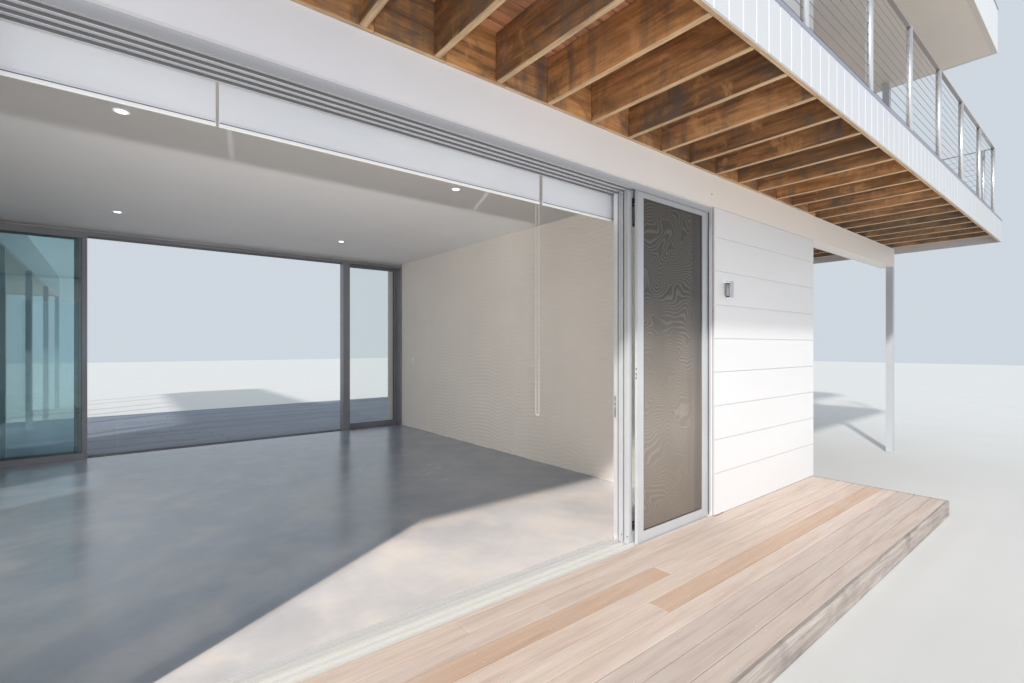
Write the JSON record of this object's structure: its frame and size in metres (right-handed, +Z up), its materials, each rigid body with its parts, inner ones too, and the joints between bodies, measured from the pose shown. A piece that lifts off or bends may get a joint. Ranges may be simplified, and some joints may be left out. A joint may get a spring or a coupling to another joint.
{
  "type": "beach house",
  "caption": "Two-storey flat-roofed beach house with a glazed living room that slides open at front and rear, timber decks, a balcony on a covered porch and a side verandah.",
  "frame": {"origin": "on the ground at the slab's underside, in line with the middle of the front doorway and of the house's depth", "axes": "+X along the front to the right as seen from outside, +Y into the house and towards the rear deck, +Z up"},
  "size_m": [14.036, 17.562, 6.525],
  "materials": {
    "concrete": "polished",
    "deck_timber": "weathered",
    "grey_timber": "weathered",
    "white_cladding": "satin paint",
    "relief_panel": "matte paint",
    "white_paint": "satin paint",
    "grey_steel": "satin",
    "ceiling_paint": "matte paint",
    "joist_timber": "weathered",
    "balcony_timber": "oiled",
    "fascia_paint": "satin paint",
    "capping_metal": "satin",
    "stainless_steel": "polished",
    "silver_aluminium": "satin powder coat",
    "grey_aluminium": "satin powder coat",
    "clear_glass": "polished",
    "roof_sheet": "satin",
    "soffit_paint": "matte paint",
    "insect_mesh": "woven",
    "blind_cloth": "woven",
    "white_metal": "gloss",
    "white_plastic": "gloss"
  },
  "bodies": {
    "house": {"ground_slab": "concrete", "front_deck": "deck_timber", "rear_deck": "grey_timber", "front_wall": "white_cladding", "rear_wall": "white_cladding", "end_walls": "white_cladding", "feature_wall": "relief_panel", "front_beam": "white_paint", "porch_beams": "white_paint", "posts": "grey_steel", "upper_floor": "ceiling_paint", "balcony_joists": "joist_timber", "terrace_joists": "joist_timber", "balcony_boards": "balcony_timber", "terrace_boards": "balcony_timber", "balcony_fascia": "fascia_paint", "metal_capping": "capping_metal", "front_balustrade": "stainless_steel", "side_balustrades": "stainless_steel", "upper_front_wall": "white_cladding", "upper_rear_wall": "white_cladding", "upper_end_walls": "white_cladding", "window_frames": "silver_aluminium", "fixed_glass": "clear_glass", "roof_slab": "roof_sheet", "roof_soffit": "soffit_paint", "roof_fascia": "fascia_paint", "verandah_roof": "white_paint", "front_door_frame": "silver_aluminium", "rear_door_frame": "grey_aluminium", "blind_fabric": "blind_cloth", "blind_fittings": "white_metal", "bead_chain": "white_plastic", "downlights": "white_plastic", "wall_light_body": "silver_aluminium", "switch_plate": "white_plastic"},
    "front_left_door": {"front_left_slider": "silver_aluminium", "front_left_glass": "clear_glass"},
    "front_inner_door": {"front_inner_slider": "silver_aluminium", "front_inner_glass": "clear_glass"},
    "front_outer_door": {"front_outer_slider": "silver_aluminium", "front_outer_glass": "clear_glass"},
    "screen": {"screen_door": "silver_aluminium", "screen_mesh": "insect_mesh"},
    "rear_inner_door": {"rear_inner_slider": "grey_aluminium", "rear_inner_glass": "clear_glass"},
    "rear_middle_door": {"rear_middle_slider": "grey_aluminium", "rear_middle_glass": "clear_glass"},
    "rear_outer_door": {"rear_outer_slider": "grey_aluminium", "rear_outer_glass": "clear_glass"}
  },
  "joints": [
    {"name": "front_left_slide", "type": "slide", "parent": "house", "child": "front_left_door", "axis": [1, 0, 0], "range_m": [0, 1.182]},
    {"name": "front_inner_slide", "type": "slide", "parent": "house", "child": "front_inner_door", "axis": [-1, 0, 0], "range_m": [0, 1.182]},
    {"name": "front_outer_slide", "type": "slide", "parent": "house", "child": "front_outer_door", "axis": [-1, 0, 0], "range_m": [0, 2.373]},
    {"name": "screen_slide", "type": "slide", "parent": "house", "child": "screen", "axis": [-1, 0, 0], "range_m": [0, 4.61]},
    {"name": "rear_inner_slide", "type": "slide", "parent": "house", "child": "rear_inner_door", "axis": [1, 0, 0], "range_m": [0, 3.532]},
    {"name": "rear_middle_slide", "type": "slide", "parent": "house", "child": "rear_middle_door", "axis": [1, 0, 0], "range_m": [0, 2.368]},
    {"name": "rear_outer_slide", "type": "slide", "parent": "house", "child": "rear_outer_door", "axis": [1, 0, 0], "range_m": [0, 1.199]}
  ]
}
